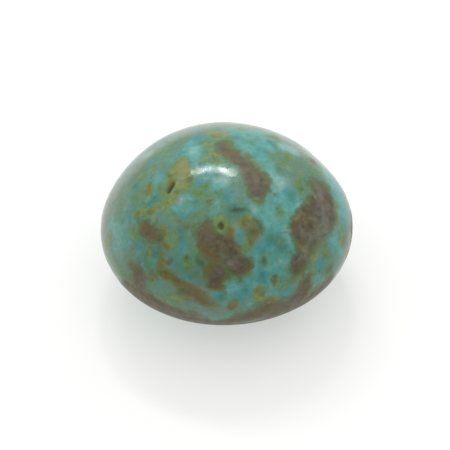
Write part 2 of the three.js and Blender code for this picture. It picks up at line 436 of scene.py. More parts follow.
        "shortBar": [(149, 277, 0.3), (152, 281, 0.4)], "leftPatch": [(133, 232, 0.5), (137, 231, 0.4)],
        "dot": [(279, 207, 0.25), (279, 211, 0.3)],
    },
    "oliveCrust": {
        "bigPatch": [(183, 160, 0.5), (179, 166, 0.8), (174, 173, 0.8), (172, 180, 0.65),
                     (176, 184, 0.5)],
        "bigPatchEast": [(184, 170, 0.8), (186, 178, 0.65), (184, 185, 0.7), (188, 183, 0.45)],
        "bigPatchSouth": [(177, 190, 0.5), (173, 197, 0.55), (168, 203, 0.5)],
        "chain": [(164, 205, 0.45), (158, 206, 0.4), (153, 210, 0.5), (144, 212, 0.55),
                  (136, 213, 0.5)],
        "underGlow": [(203, 158, 0.2), (213, 163, 0.3), (221, 162, 0.3)],
        "rimKhaki": [(211, 133, 0.6), (218, 136, 0.8), (226, 132, 0.5)],
        "ochreRound": [(148, 186, 0.45), (147, 192, 0.45)],
        "leftPatchEast": [(163, 229, 0.55), (164, 236, 0.5)],
        "honey": [(160, 241, 0.45), (166, 246, 0.5), (170, 245, 0.3)],
        "rimOlive": [(110, 236, 0.5), (106, 244, 0.7)],
        "stalk": [(161, 257, 0.3), (161, 265, 0.4), (161, 272, 0.4)],
        "underStalk": [(158, 272, 0.4), (165, 275, 0.65), (172, 278, 0.5)],
        "smallPatch": [(242, 221, 0.6), (248, 222, 0.75), (252, 229, 0.8), (254, 236, 0.6),
                       (250, 241, 0.45)],
        "centreEdge": [(228, 226, 0.4), (231, 232, 0.45), (228, 238, 0.4)],
        "besideCentre": [(213, 229, 0.4), (215, 234, 0.3)],
        "ringRound": [(217, 222, 0.4), (221, 219, 0.3), (226, 223, 0.3), (225, 229, 0.4),
                      (219, 231, 0.4)],
        "arm": [(211, 266, 0.5), (207, 271, 0.5), (206, 277, 0.35)],
        "blobEast": [(248, 266, 0.4), (246, 273, 0.2)],
        "underBlob": [(225, 273, 0.4), (224, 279, 0.35), (219, 287, 0.3)],
        "lowDrop": [(258, 290, 0.5), (258, 297, 0.7)],
        "rimBelt": [(266, 300, 0.7), (274, 302, 0.7), (281, 306, 0.5)],
        "diagonalTop": [(177, 283, 0.6), (186, 285, 0.6)],
        "diagonalTip": [(204, 298, 0.5), (212, 306, 0.5)],
        "diagonalLow": [(175, 297, 0.6), (181, 301, 0.4)],
        "patchFoot": [(302, 266, 0.5), (297, 274, 0.4)], "patchLow": [(311, 246, 0.3), (308, 256, 0.3)],
        "patchEast": [(336, 205, 0.4), (336, 216, 0.4), (330, 226, 0.5)],
        "patchSide": [(318, 240, 0.5), (314, 252, 0.5), (311, 262, 0.4)],
        "leftHazeHigh": [(139, 177, 0.2), (144, 182, 0.05)],
        "lowerLeft": [(131, 262, 0.5), (132, 270, 0.4)], "thin": [(150, 247, 0.2), (149, 255, 0.2)],
        "barRim": [(244, 152, 0.1), (254, 161, 0.15), (262, 169, 0.15)],
        "moundWest": [(130, 286, 0.8), (137, 292, 0.8), (150, 302, 0.9), (165, 306, 0.9)],
        "rightDot": [(313, 273, 0.5), (312, 281, 0.5)],
    },
    "darkOlive": {
        "smallPatchEast": [(254, 220, 0.35), (259, 225, 0.4), (262, 232, 0.35)],
        "dash": [(231, 210, 0.15), (240, 211, 0.15), (249, 211, 0.05)],
        "purpleRim": [(330, 270, 0.6), (328, 277, 0.6)], "rimDash": [(268, 136, 0.4), (275, 137, 0.6)],
        "lowShade": [(198, 259, 0.3), (203, 264, 0.3)],
        "besideCentre": [(213, 228, 0.2), (215, 233, 0.2)],
    },
    "ochreCrust": {
        "smallPatch": [(244, 221, 0.5), (248, 226, 0.6), (253, 232, 0.7), (253, 238, 0.5)],
        "leftPatchEast": [(161, 228, 0.3), (163, 234, 0.3), (160, 240, 0.4)],
        "honey": [(164, 243, 0.2), (169, 247, 0.2)],
        "stalk": [(161, 256, 0.3), (161, 264, 0.4), (160, 271, 0.4), (166, 275, 0.6), (172, 277, 0.5),
                  (179, 281, 0.5)],
        "shortBar": [(152, 275, 0.6), (155, 277, 0.5)],
        "arm": [(207, 253, 0.4), (213, 258, 0.6), (213, 264, 0.6), (208, 269, 0.5), (206, 276, 0.3)],
        "blobEast": [(248, 266, 0.4), (245, 273, 0.2)],
        "centreEast": [(229, 230, 0.4), (231, 236, 0.4)],
        "ochreRound": [(148, 185, 0.3), (147, 192, 0.3)],
        "diagonal": [(177, 285, 0.5), (184, 290, 1.0), (192, 293, 1.2), (199, 296, 1.0),
                     (206, 301, 0.8), (213, 306, 0.6)],
        "patchFoot": [(303, 265, 0.6), (297, 273, 0.5), (291, 280, 0.3)],
        "leftThin": [(148, 253, 0.1), (146, 259, 0.2)], "slitRound": [(171, 181, 0.3), (168, 190, 0.3)],
        "rimBelt": [(270, 301, 0.7), (278, 304, 0.5)],
    },
    "brownMatrix": {
        "upperBar": [(222, 143, 0.45), (226, 150, 0.65), (233, 155, 0.7), (241, 161, 0.85),
                     (249, 169, 1.0), (255, 177, 1.2), (259, 185, 1.2), (258, 191, 0.9),
                     (255, 194, 0.5)],
        "patchWest": [(314, 184, 0.5), (317, 192, 0.5), (315, 201, 0.7), (309, 211, 0.9),
                      (301, 219, 0.95), (298, 228, 0.95), (303, 239, 0.75), (305, 250, 0.7),
                      (300, 261, 0.85), (297, 268, 0.65)],
        "patchEast": [(318, 184, 0.6), (323, 193, 1.0), (326, 202, 1.4), (326, 212, 1.65),
                      (323, 220, 1.6), (318, 228, 1.4), (310, 238, 1.0), (307, 249, 0.6),
                      (303, 259, 0.6)],
        "patchMiddle": [(318, 205, 1.2), (312, 216, 1.4), (308, 226, 1.3)],
        "rimRise": [(307, 279, 0.5), (305, 287, 0.8), (302, 294, 0.9), (296, 301, 0.6)],
        "centre": [(207, 223, 0.3), (206, 229, 0.5), (205, 236, 0.85), (211, 241, 1.1),
                   (219, 245, 1.15), (227, 248, 1.0), (233, 253, 0.7)],
        "arm": [(202, 245, 0.5), (208, 252, 0.4), (220, 258, 0.4)],
        "blob": [(226, 261, 0.65), (233, 264, 0.95), (239, 266, 1.0), (243, 266, 0.8)],
        "lowBlob": [(218, 272, 0.65), (217, 278, 0.75), (215, 284, 0.75)],
        "left": [(145, 224, 0.5), (146, 230, 0.75), (151, 234, 0.85), (158, 238, 0.5)],
        "lowerLeft": [(133, 265, 0.3), (136, 270, 0.5), (139, 275, 0.75), (138, 282, 0.6),
                      (139, 288, 0.8)],
        "rimWest": [(127, 285, 0.9), (137, 293, 1.3), (149, 301, 1.5), (162, 308, 1.4), (176, 313, 1.3),
                    (191, 318, 1.0), (206, 321, 0.8)],
        "rimWestEdge": [(128, 290, 1.4), (148, 304, 1.7), (172, 316, 1.7), (196, 322, 1.5),
                        (220, 324, 1.3)],
        "rimEast": [(222, 322, 0.8), (238, 320, 1.1), (254, 316, 1.3), (270, 310, 1.5), (286, 307, 1.1),
                    (300, 297, 1.2)],
        "rimEastEdge": [(220, 325, 1.4), (244, 325, 1.7), (256, 323, 1.9), (268, 320, 1.9),
                        (280, 315, 1.9), (292, 310, 1.8), (312, 297, 1.5), (328, 282, 1.1)],
        "diagonal": [(181, 290, 0.1), (188, 293, 0.3), (196, 296, 0.3), (203, 301, 0.3),
                     (209, 304, 0.1)],
        "eastRim": [(351, 214, 0.3), (352, 228, 0.6), (351, 240, 0.4)],
    },
    "plumMatrix": {
        "barHeart": [(256, 182, 0.8), (259, 190, 0.7)],
        "patchHeart": [(315, 185, 0.5), (323, 197, 1.0), (324, 207, 1.2), (326, 217, 1.1),
                       (316, 212, 0.7)],
        "patchWest": [(299, 228, 0.4), (304, 233, 0.5), (310, 235, 0.5)],
        "blob": [(228, 262, 0.4), (236, 264, 0.8), (244, 265, 0.6)],
        "lowBlob": [(218, 273, 0.5), (215, 282, 0.5)], "lowerLeft": [(140, 275, 0.6), (140, 285, 0.6)],
        "rim": [(160, 309, 0.6), (178, 314, 0.5)], "rimEast": [(300, 291, 0.7), (295, 299, 0.6)],
    },
    "rustStain": {
        "bar": [(226, 157, 0.4), (229, 152, 0.5), (236, 154, 0.4)],
        "arm": [(201, 247, 0.4), (208, 254, 0.4), (214, 258, 0.45), (219, 262, 0.4), (211, 267, 0.35),
                (206, 272, 0.35)],
        "centreEast": [(230, 232, 0.4), (229, 240, 0.3)], "left": [(143, 230, 0.3), (146, 225, 0.3)],
        "diagonal": [(178, 283, 0.4), (190, 287, 0.4), (196, 293, 0.5), (206, 302, 0.4)],
        "rise": [(304, 284, 0.5), (303, 290, 0.4)], "patchMiddle": [(300, 243, 0.3), (304, 248, 0.3)],
        "rimPinkEast": [(255, 315, 0.4), (270, 303, 0.2)],
    },
    "tanFleck": {
        "oliveTop": [(182, 164, 0.6), (184, 171, 0.5), (182, 180, 0.2), (173, 174, 0.0)],
        "diagonal": [(184, 297, 0.1), (192, 297, 0.1)],
        "patchHigh": [(312, 193, 0.12), (315, 198, 0.12)],
        "patchFlecks": [(316, 210, 0.0), (318, 214, 0.05)],
        "patchFlecksLow": [(308, 233, 0.0), (312, 237, 0.05), (310, 242, 0.0)],
        "patchFlecksWest": [(303, 219, 0.05), (306, 214, 0.0)],
        "patchFlecksFoot": [(301, 256, 0.0), (299, 262, 0.0)],
        "patchNorth": [(319, 194, 0.05), (323, 198, 0.0)],
        "patchNorthEast": [(329, 206, 0.0), (328, 212, 0.05)],
        "patchSide": [(320, 226, 0.05), (324, 222, 0.0)],
        "lowerLeft": [(133, 288, 0.0), (142, 283, 0.05)],
        "patchWest": [(296, 219, 0.2), (302, 212, 0.1)],
        "patchMiddle": [(311, 218, 0.15), (316, 221, 0.15)],
        "patchLow": [(301, 247, 0.1), (307, 252, 0.15)],
    },
    "darkPit": {
        "slit": [(173, 184, 0.1), (169, 192, 0.1)], "ring": [(221, 223, 0.12), (222, 229, 0.15)],
        "dashStripes": [(235, 208, 0.03), (236, 214, 0.0)],
        "dashStripesEast": [(239, 209, 0.03), (239, 214, 0.0)],
        "smallPatchEdge": [(257, 221, 0.02), (261, 229, 0.02)],
        "blobTop": [(235, 260, 0.0), (241, 260, 0.0), (246, 262, -0.02)],
        "blobMiddle": [(238, 268, -0.04), (245, 267, -0.04)],
        "lowBlob": [(217, 274, -0.05), (214, 283, -0.07)],
        "patchWest": [(298, 229, -0.04), (301, 236, -0.04)],
        "patchMiddle": [(306, 238, -0.06), (312, 236, -0.08)],
    },
    # painted sheen: pale haze painted along the rims as the camera sees them, and over the brown
    # patches where a sheen lightens them
    "chalkAndPaintedSheen": {
        "west": [(106, 212, 1.0), (105, 228, 1.1), (106, 244, 1.0), (112, 262, 0.9)],
        "westField": [(114, 208, 1.0), (117, 226, 1.1), (117, 244, 1.0), (122, 260, 0.7)],
        "westFieldEast": [(127, 222, 0.5), (127, 236, 0.7), (130, 250, 0.6)],
        "westShoulder": [(113, 198, 1.0), (122, 182, 1.0), (134, 168, 1.0), (148, 155, 1.0),
                         (161, 146, 0.9)],
        "top": [(177, 136, 0.9), (196, 129, 0.9), (218, 125, 0.9), (244, 127, 0.8)],
        "khaki": [(212, 133, 0.4), (224, 132, 0.4)],
        "eastTop": [(288, 142, 0.9), (302, 150, 1.2), (312, 160, 0.9)],
        "westHigh": [(126, 190, 0.6), (125, 203, 0.7), (124, 216, 0.5)],
        "westLow": [(138, 252, 0.5), (134, 262, 0.2)],
        "barSide": [(236, 174, 0.3), (238, 186, 0.5), (236, 194, 0.3)],
        "column": [(289, 170, 0.4), (291, 182, 0.4), (281, 176, 0.2)],
        "eastPatch": [(318, 188, 0.3), (322, 202, 0.1), (323, 216, 0.3), (326, 228, 0.8),
                      (315, 237, 0.4), (308, 246, 0.4), (304, 256, 0.2)],
        "eastPatchLow": [(321, 244, 0.6), (316, 256, 0.5)],
        "eastEdge": [(337, 210, 0.4), (337, 226, 0.5), (332, 240, 0.4)],
    },
}

# Spots that stand alone, each with its x, y and radius

mineralSpots = {
    "greenCast": [(132, 251, 0.8), (248, 203, 0.4)],
    "greyClayAndPaintedRimHaze": [(158, 219, 0.3), (181, 199, 0.4), (153, 174, 0.3)],
    "blueTeal": [(238, 137, 0.5), (200, 182, 0.5), (191, 209, 0.3), (160, 219, 0.3), (239, 237, 0.45),
                 (162, 284, 0.3), (158, 178, 0.35), (216, 297, 0.5), (130, 222, 0.3), (129, 208, 0.25),
                 (152, 161, 0.5), (283, 236, 0.5), (335, 190, 0.9)],
    "freshTurquoise": [(150, 268, 0.1), (177, 206, 0.4), (128, 240, 0.7), (216, 211, 0.5)],
    "deepTeal": [(222, 298, 0.35), (226, 261, 0.4), (242, 184, 0.5), (136, 187, 0.5), (199, 218, 0.4),
                 (196, 203, 0.5), (197, 273, 0.3), (306, 180, 0.3), (245, 290, 0.5), (262, 212, 0.2)],
    "paleBloom": [(193, 151, 0.6), (166, 260, 0.05), (254, 209, 0.35), (280, 262, 0.2), (148, 155, 0.8),
                  (289, 262, 0.3), (181, 200, 0.35), (250, 304, 0.0)],
    "seaGreen": [(280, 168, 0.6), (241, 129, 0.8), (222, 193, 0.35), (225, 204, 0.5), (126, 276, 0.7),
                 (281, 243, 0.5), (280, 213, 0.45), (250, 212, 0.3), (187, 204, 0.4), (164, 190, 0.4),
                 (149, 267, 0.5), (235, 300, 0.4), (265, 260, 0.45), (302, 153, 0.5), (276, 276, 0.3)],
    "mossGreen": [(286, 286, 0.2), (226, 277, 0.35), (188, 227, 0.35), (188, 264, 0.4),
                  (205, 144, 0.35), (213, 147, 0.4), (230, 139, 0.4), (152, 167, 0.3), (321, 240, 0.4),
                  (168, 203, 0.3), (192, 182, 0.3), (326, 252, 0.4), (228, 230, 0.3), (287, 288, 0.25),
                  (344, 241, 0.5)],
    "oliveCrust": [(215, 154, 0.65), (204, 144, 0.35), (212, 146, 0.45), (301, 172, 0.3),
                   (167, 194, 0.4), (290, 157, 0.4), (175, 219, 0.45), (137, 231, 0.3),
                   (275, 282, 0.45), (265, 257, 0.25), (233, 305, 0.6), (343, 243, 0.6),
                   (119, 203, 0.12)],
    "darkOlive": [(165, 274, 0.5), (188, 228, 0.35), (227, 276, 0.4), (150, 212, 0.35), (138, 214, 0.3),
                  (244, 225, 0.35), (251, 243, 0.3), (178, 222, 0.25), (131, 264, 0.45),
                  (213, 158, 0.3), (190, 178, 0.35), (169, 176, 0.3), (177, 192, 0.25), (244, 222, 0.3),
                  (302, 268, 0.5), (162, 306, 0.6), (138, 291, 0.5), (235, 301, 0.3), (276, 277, 0.3),
                  (300, 188, 0.25), (210, 223, 0.3), (265, 260, 0.3), (157, 237, 0.3), (205, 257, 0.3),
                  (186, 257, 0.3), (309, 233, 0.5), (331, 269, 0.5), (263, 294, 0.35)],
    "ochreCrust": [(190, 178, 0.3), (233, 305, 0.5), (259, 291, 0.3), (213, 136, 0.3),
                   (187, 269, 0.15)],
    "brownMatrix": [(275, 281, 0.05), (232, 306, 0.3), (312, 161, 0.6), (210, 201, 0.06),
                    (254, 232, 0.35)],
    "plumMatrix": [(222, 143, 0.35), (308, 206, 0.3), (297, 261, 0.7), (208, 236, 0.45),
                   (169, 263, 0.3)],
    "rustStain": [(254, 175, 0.4), (207, 229, 0.3), (187, 298, 0.3), (232, 305, 0.35), (295, 230, 0.45),
                  (325, 200, 0.5), (316, 186, 0.4), (297, 220, 0.45), (257, 233, 0.4), (216, 283, 0.3),
                  (193, 314, 0.5), (238, 318, 0.5), (247, 268, 0.3), (175, 281, 0.45), (167, 247, 0.3),
                  (313, 161, 0.4), (136, 270, 0.45)],
    # (303, 231) and (231, 262) are painted glints, pale dots where light catches the rims of two pits
    "tanFleck": [(215, 154, 0.0), (180, 185, 0.2), (154, 210, 0.1), (266, 183, 0.25), (257, 198, 0.15),
                 (308, 203, 0.12), (306, 222, 0.1), (303, 231, 0.16), (321, 239, 0.1), (248, 225, 0.2),
                 (232, 305, 0.2), (270, 302, 0.2), (231, 262, 0.2), (130, 286, 0.15)],
    "darkPit": [(231, 204, 0.02), (279, 209, 0.06), (168, 175, 0.02), (213, 160, 0.06), (331, 270, 0.1),
                (140, 276, -0.02)],
    # (231, 262) and (303, 231) are painted glints, (196, 164) is a painted highlight at the left end of
    # the arch, and (254, 178) is painted sheen on the bar
    "chalkAndPaintedSheen": [(231, 262, 0.1), (303, 231, 0.1), (196, 164, 0.3), (254, 178, 0.0)],
}

markingSetup = {
    "stirAmount": 0.16,      # mm that an edge wanders
    "stirCell": 1.6,         # mm, size of the wandering
    "fineAmount": 0.10,      # mm, and again on a smaller scale
    "fineCell": 0.55,
    "fineSeed": 38,
    "join": 0.2,             # mm over which two strokes flow into one
    "hiddenSteps": (2, 5),   # steps in a stroke of the hidden sides, at least and fewer than
    "hiddenStride": 1.2,     # mm, length of a step
    "hiddenWander": 0.5,     # how far the heading strays at each step, as a share of its length
    "seenLimit": 0.04,       # cosine to the camera below which a place counts as not seen
    "seed": 31,
}

seenPicture = pictureOf(smoothPoints, cameraSetup)
toEye = unitRows(viewAxes(cameraSetup)[3] - smoothPoints)
seenFacing = (toEye * smoothNormals).sum(1)


def castChain(chain):
    # each place goes to the seen point of the surface whose pixel is nearest
    farAway = 1e6            # square pixels, more than any distance in the picture
    hidden = np.where(seenFacing > 0, 0.0, farAway)
    rows = []
    for across, down, radius in chain:
        nearest = np.argmin(((seenPicture - [across, down]) ** 2).sum(1) + hidden)
        rows.append([*smoothPoints[nearest], radius])
    return np.array(rows)


def hiddenChain(rng, low, high, setup):
    # a short wandering walk over the surface, started on a point that the camera can't see
    while True:
        way = ballWays[rng.integers(len(ballWays))]
        heading = rng.normal(size=3)
        ways = [way]
        for step in range(rng.integers(*setup["hiddenSteps"])):
            heading = heading - (heading @ way) * way + setup["hiddenWander"] * rng.normal(size=3)
            heading = unitRows(heading)
            way = unitRows(way + heading * setup["hiddenStride"] / stoneForm["halfDepth"])
            ways.append(way)
        ways = np.array(ways)
        points = surfacePoints(ways)
        facing = (unitRows(viewAxes(cameraSetup)[3] - points) * surfaceNormals(ways)).sum(1)
        if facing.max() < setup["seenLimit"]:
            radius = rng.uniform(low, high, size=(len(points), 1))
            return np.hstack([points, radius])


def smoothGreater(first, second, join):
    # the greater of two fields, rounded where they cross: a h + b (1 - h) + join h (1 - h)
    share = np.clip(0.5 + 0.5 * (first - second) / join, 0, 1)
    return first * share + second * (1 - share) + join * share * (1 - share)


def strokeField(points, chains, join):
    # how far inside a stroke each point lies, in mm: the radius of the nearest place along the
    # chain less the distance to it, and the greatest of that over all chains
    noStroke = -9.0          # mm, far outside all of them
    shortest = 1e-9          # square mm, for a stroke of one place
    field = np.full(len(points), noStroke)
    for chain in chains:
        if len(chain) == 1:
            chain = np.vstack([chain, chain])
        for start, end in zip(chain[:-1], chain[1:]):
            run = end[:3] - start[:3]
            along = np.clip((points - start[:3]) @ run / max(run @ run, shortest), 0, 1)
            gap = np.linalg.norm(points - start[:3] - along[:, None] * run, axis=1)
            radius = start[3] + along * (end[3] - start[3])
            field = smoothGreater(field, radius - gap, join)
    return field


def layerFields(layers, strokes, spots, setup):
    rng = np.random.default_rng(setup["seed"])
    stirredPoints = stirred(smoothPoints, setup["stirAmount"], setup["stirCell"], setup["seed"])
    stirredPoints = stirred(stirredPoints, setup["fineAmount"], setup["fineCell"], setup["fineSeed"])
    fields = {}
    for name, layer in layers.items():
        count, low, high = layer["hidden"]
        chains = [castChain(chain) for chain in strokes[name].values()]
        chains += [castChain([spot]) for spot in spots[name]]
        chains += [hiddenChain(rng, low, high, setup) for number in range(count)]
        fields[name] = strokeField(stirredPoints, chains, setup["join"])
    return fields


mineralFields = layerFields(mineralLayers, mineralStrokes, mineralSpots, markingSetup)
print("markings laid:", ", ".join(mineralFields))


# Relief: pits, the softer matrix polished a little lower, and the waviness of hand polishing

reliefSetup = {
    # turn, rise, half length, half width and depth in mm, heading in degrees, share of dirt
    "pits": [
        (-158, 61, 0.95, 0.32, 0.24, -51, 0.35),
        (-80, 62, 0.90, 0.26, 0.11, 0, 0.2),
        (-95, 54, 0.55, 0.45, 0.18, 70, 0.45),
        (-120, 28, 0.60, 0.36, 0.20, 80, 0.05),
        (-88, 34, 0.34, 0.28, 0.18, 0, 0.0),
        (-40, 38, 0.48, 0.26, 0.18, 75, 0.0),
        (48, 12, 0.80, 0.34, 0.28, 20, 0.5),
        (104, 26, 0.50, 0.38, 0.25, 60, 0.4),
        (148, -12, 0.95, 0.30, 0.30, -25, 0.5),
        (186, -22, 0.45, 0.32, 0.22, 40, 0.3),
    ],
    "pitRagged": 0.35,       # how much a pit's rim wanders, as a share of its size
    "pitReach": 2.0,         # mm below the pit, past which the surface is the stone's other side
    "pitSeed": 5,
    "matrixDrop": 0.018,     # mm that the brown matrix lies lower
    "matrixBlend": 0.5,      # mm over which it drops
    "waveHeight": 0.012,     # mm
    "waveLength": 2.6,       # mm
    "waveSeed": 11,
    "grainHeight": 0.0025,   # mm
    "grainLength": 0.45,     # mm
    "grainSeed": 12,
    "highest": 0.02,         # mm that the relief may stand proud of the plain form
    "flatMargin": 0.02,      # mm, what lies lower than this is the worn flat and has no relief
}


def pitDepth(points, pit, setup):
    # depth times the square root of 1 less the squared distance from the middle, in a frame of the
    # pit's length and width, with the rim bent by noise
    turn, rise, halfLong, halfWide, depth, heading = pit[:-1]
    way = wayOf(turn, rise)[None]
    middle = surfacePoints(way)[0]
    outward = surfaceNormals(way)[0]
    level = unitRows(np.cross([0.0, 0.0, 1.0], outward))
    rising = np.cross(outward, level)
    angle = math.radians(heading)
    along = math.cos(angle) * level + math.sin(angle) * rising
    across = np.cross(outward, along)
    offset = points - middle
    reach = ((offset @ along) / halfLong) ** 2 + ((offset @ across) / halfWide) ** 2
    reach = reach * (1 + setup["pitRagged"] * latticeNoise(points, halfWide, setup["pitSeed"]))
    hollow = depth * np.sqrt(np.clip(1 - reach, 0, 1))
    return np.where(offset @ outward < -setup["pitReach"], 0.0, hollow)


def lowRelief(points, fields, pitted, setup):
    # how far each point moves out along its normal, in mm
    lift = setup["waveHeight"] * latticeNoise(points, setup["waveLength"], setup["waveSeed"])
    lift += setup["grainHeight"] * latticeNoise(points, setup["grainLength"], setup["grainSeed"])
    inMatrix = np.clip(0.5 + fields["brownMatrix"] / setup["matrixBlend"], 0, 1)
    lift -= setup["matrixDrop"] * inMatrix * inMatrix * (3 - 2 * inMatrix)
    return lift - pitted


pitDepths = [pitDepth(smoothPoints, pit, reliefSetup) for pit in reliefSetup["pits"]]
pitDirt = sum(depth * pit[-1] for depth, pit in zip(pitDepths, reliefSetup["pits"]))
stoneLift = lowRelief(smoothPoints, mineralFields, sum(pitDepths), reliefSetup)
onFlat = smoothPoints[:, 2] < nuggetLow[2] + reliefSetup["flatMargin"]
stoneLift = np.where(onFlat, 0.0, np.minimum(stoneLift, reliefSetup["highest"]))
stonePoints = smoothPoints + stoneLift[:, None] * smoothNormals
print("relief added, deepest", round(float(-stoneLift.min()), 2), "mm")


def makeStone(points, quads, fields):
    mesh = bpy.data.meshes.new("turquoiseNuggetSkin")
    mesh.from_pydata((points * mm).tolist(), [], quads.tolist())
    mesh.polygons.foreach_set("use_smooth", np.ones(len(quads), bool))
    for name, field in fields.items():
        attribute = mesh.attributes.new(name, "FLOAT", "POINT")
        attribute.data.foreach_set("value", field.astype(np.float32))
    mesh.update()
    stone = bpy.data.objects.new("turquoiseNuggetSkin", mesh)
    bpy.context.scene.collection.objects.link(stone)
    return stone


stone = makeStone(stonePoints, stoneQuads, mineralFields | {"pitDirt": pitDirt})
print("stone made:", len(stone.data.polygons) * 2, "triangles")


# Materials

def hexColour(text):
    # sRGB hex to linear red, green, blue and alpha
    parts = [int(text[k:k + 2], 16) / 255 for k in (1, 3, 5)]
    return [p / 12.92 if p <= 0.04045 else ((p + 0.055) / 1.055) ** 2.4 for p in parts] + [1.0]


def addNode(tree, kind, inputs, **settings):
    # a node with its settings; an input is a value or the output that feeds it
    node = tree.nodes.new(kind)
    for name, value in settings.items():
        setattr(node, name, value)
    for name, value in inputs.items():
        if isinstance(value, bpy.types.NodeSocket):
            tree.links.new(value, node.inputs[name])
        else:
            node.inputs[name].default_value = value
    return node


stoneFinish = {
    "ground": ("#458371", "#58958a"),   # clean turquoise, greener and bluer in clouds
    "cloudSize": 1.6,        # mm
    "freckles": {            # colour, size in mm, noise level where they start and are full, strength
        "green": ("#557d54", 1.2, 0.48, 0.60, 0.72),
        "blue": ("#3a878d", 1.0, 0.53, 0.63, 0.62),
        "pale": ("#7fb0a5", 0.9, 0.58, 0.70, 0.45),
        "dark": ("#2e6a5a", 0.8, 0.56, 0.66, 0.68),
        "olive": ("#6c7a44", 1.0, 0.62, 0.70, 0.55),
    },
    "freckleShift": 3.7,     # how far apart the freckles' noises are taken from each other
    # altered turquoise round the brown: width in mm, and how strongly noise breaks it up
    "greenRing": {"colours": ("#527a58", "#618569"), "width": 0.5, "strength": 0.32,
                  "noiseSize": 2.2, "breaks": 10.0},
    "oliveRing": {"colours": ("#61693a", "#50663c"), "width": 0.30, "strength": 0.72,
                  "noiseSize": 1.4, "breaks": 13.0},
    "ringSpan": (-2.0, -0.4),    # where a ring starts and is full, in widths out from the brown
    "grainSize": 0.28,       # mm, the chalky grain of turquoise
    "grainDepth": 0.07,      # share of the brightness
    "roughness": (0.09, 0.22),   # hand polished, better in some places than in others
    "polishSize": 1.1,       # mm
    "matrixRoughness": 0.45,     # the softer matrix takes less polish
    "pitRoughness": 0.8,     # no polish reaches into a pit
    "pitColour": "#3d3419",
    "pitDepths": (0.002, 0.12),  # mm, where the polish ends and where the dirt is darkest
    "ior": 1.43,             # turquoise is 1.61, dulled by its waxy, porous skin
    "bumpSize": 0.30,        # mm
    "bumpDepth": 0.0038,     # mm
}

cloudNoise = {"Detail": 3.0, "Roughness": 0.6}
cloudSpan = {"From Min": 0.35, "From Max": 0.65}     # most of such noise lies between these
mottleSpan = {"From Min": 0.36, "From Max": 0.64}
grainSpan = {"From Min": 0.25, "From Max": 0.75}


def turquoiseGround(tree, place, finish):
    # clouds of two turquoises, then freckles, each mixed in where a noise of its own runs high
    cloud = addNode(tree, "ShaderNodeTexNoise",
                    {"Vector": place, "Scale": 1 / (finish["cloudSize"] * mm), **cloudNoise})
    share = addNode(tree, "ShaderNodeMapRange", {"Value": cloud.outputs["Fac"], **cloudSpan})
    green, blue = (hexColour(text) for text in finish["ground"])
    colour = addNode(tree, "ShaderNodeMix", {0: share.outputs[0], 6: green, 7: blue},
                     data_type="RGBA").outputs[2]
    for number, (tint, size, start, full, strength) in enumerate(finish["freckles"].values()):
        scatter = addNode(tree, "ShaderNodeTexNoise",
                          {"W": finish["freckleShift"] * number, "Vector": place,
                           "Scale": 1 / (size * mm), "Detail": 3.0, "Roughness": 0.55},
                          noise_dimensions="4D")
        amount = addNode(tree, "ShaderNodeMapRange",
                         {"Value": scatter.outputs["Fac"], "From Min": start, "From Max": full,
                          "To Max": strength}, interpolation_type="SMOOTHSTEP")
        colour = addNode(tree, "ShaderNodeMix", {0: amount.outputs[0], 6: colour, 7: hexColour(tint)},
                         data_type="RGBA").outputs[2]
    return colour


def alterationRing(tree, place, field, colour, ring, span):
    # a band outside the brown where the turquoise has turned olive or green, broken up by noise
    spread = addNode(tree, "ShaderNodeTexNoise",
                     {"Vector": place, "Scale": 1 / (ring["noiseSize"] * mm), **cloudNoise})
    swing = ring["breaks"] * ring["width"]
    reach = addNode(tree, "ShaderNodeMath", {0: spread.outputs["Fac"], 1: swing, 2: -0.5 * swing},
                    operation="MULTIPLY_ADD")
    inside = addNode(tree, "ShaderNodeMath", {0: reach.outputs[0], 1: field}, operation="ADD")
    start, full = (share * ring["width"] for share in span)
    mask = addNode(tree, "ShaderNodeMapRange",
                   {"Value": inside.outputs[0], "From Min": start, "From Max": full,
                    "To Max": ring["strength"]}, interpolation_type="SMOOTHSTEP")
    first, second = (hexColour(text) for text in ring["colours"])
    tone = addNode(tree, "ShaderNodeMix", {0: spread.outputs["Fac"], 6: first, 7: second},
                   data_type="RGBA")
    return addNode(tree, "ShaderNodeMix", {0: mask.outputs[0], 6: colour, 7: tone.outputs[2]},
                   data_type="RGBA").outputs[2]


def mineralCover(tree, place, field, layer):
    # strength times a smooth step, from -soft to soft, of the stroke field plus ragged times a
    # noise between -1 and 1
    ragged = addNode(tree, "ShaderNodeTexNoise",
                     {"Vector": place, "Scale": 1 / (layer["raggedSize"] * mm), "Detail": 4.0,
                      "Roughness": 0.65, "Distortion": 0.4})
    edge = addNode(tree, "ShaderNodeMath",
                   {0: ragged.outputs["Fac"], 1: 2 * layer["ragged"], 2: -layer["ragged"]},
                   operation="MULTIPLY_ADD")
    inside = addNode(tree, "ShaderNodeMath", {0: edge.outputs[0], 1: field}, operation="ADD")
    return addNode(tree, "ShaderNodeMapRange",
                   {"Value": inside.outputs[0], "From Min": -layer["soft"], "From Max": layer["soft"],
                    "To Max": layer["strength"]}, interpolation_type="SMOOTHSTEP").outputs[0]


def mineralColour(tree, place, layer):
    # the mineral's two colours, mixed by noise in small mottles
    mottle = addNode(tree, "ShaderNodeTexNoise",
                     {"Vector": place, "Scale": 1 / (layer["mottleSize"] * mm), **cloudNoise})
    tone = addNode(tree, "ShaderNodeMapRange", {"Value": mottle.outputs["Fac"], **mottleSpan})
    first, second = (hexColour(text) for text in layer["colours"])
    return addNode(tree, "ShaderNodeMix", {0: tone.outputs[0], 6: first, 7: second},
                   data_type="RGBA").outputs[2]


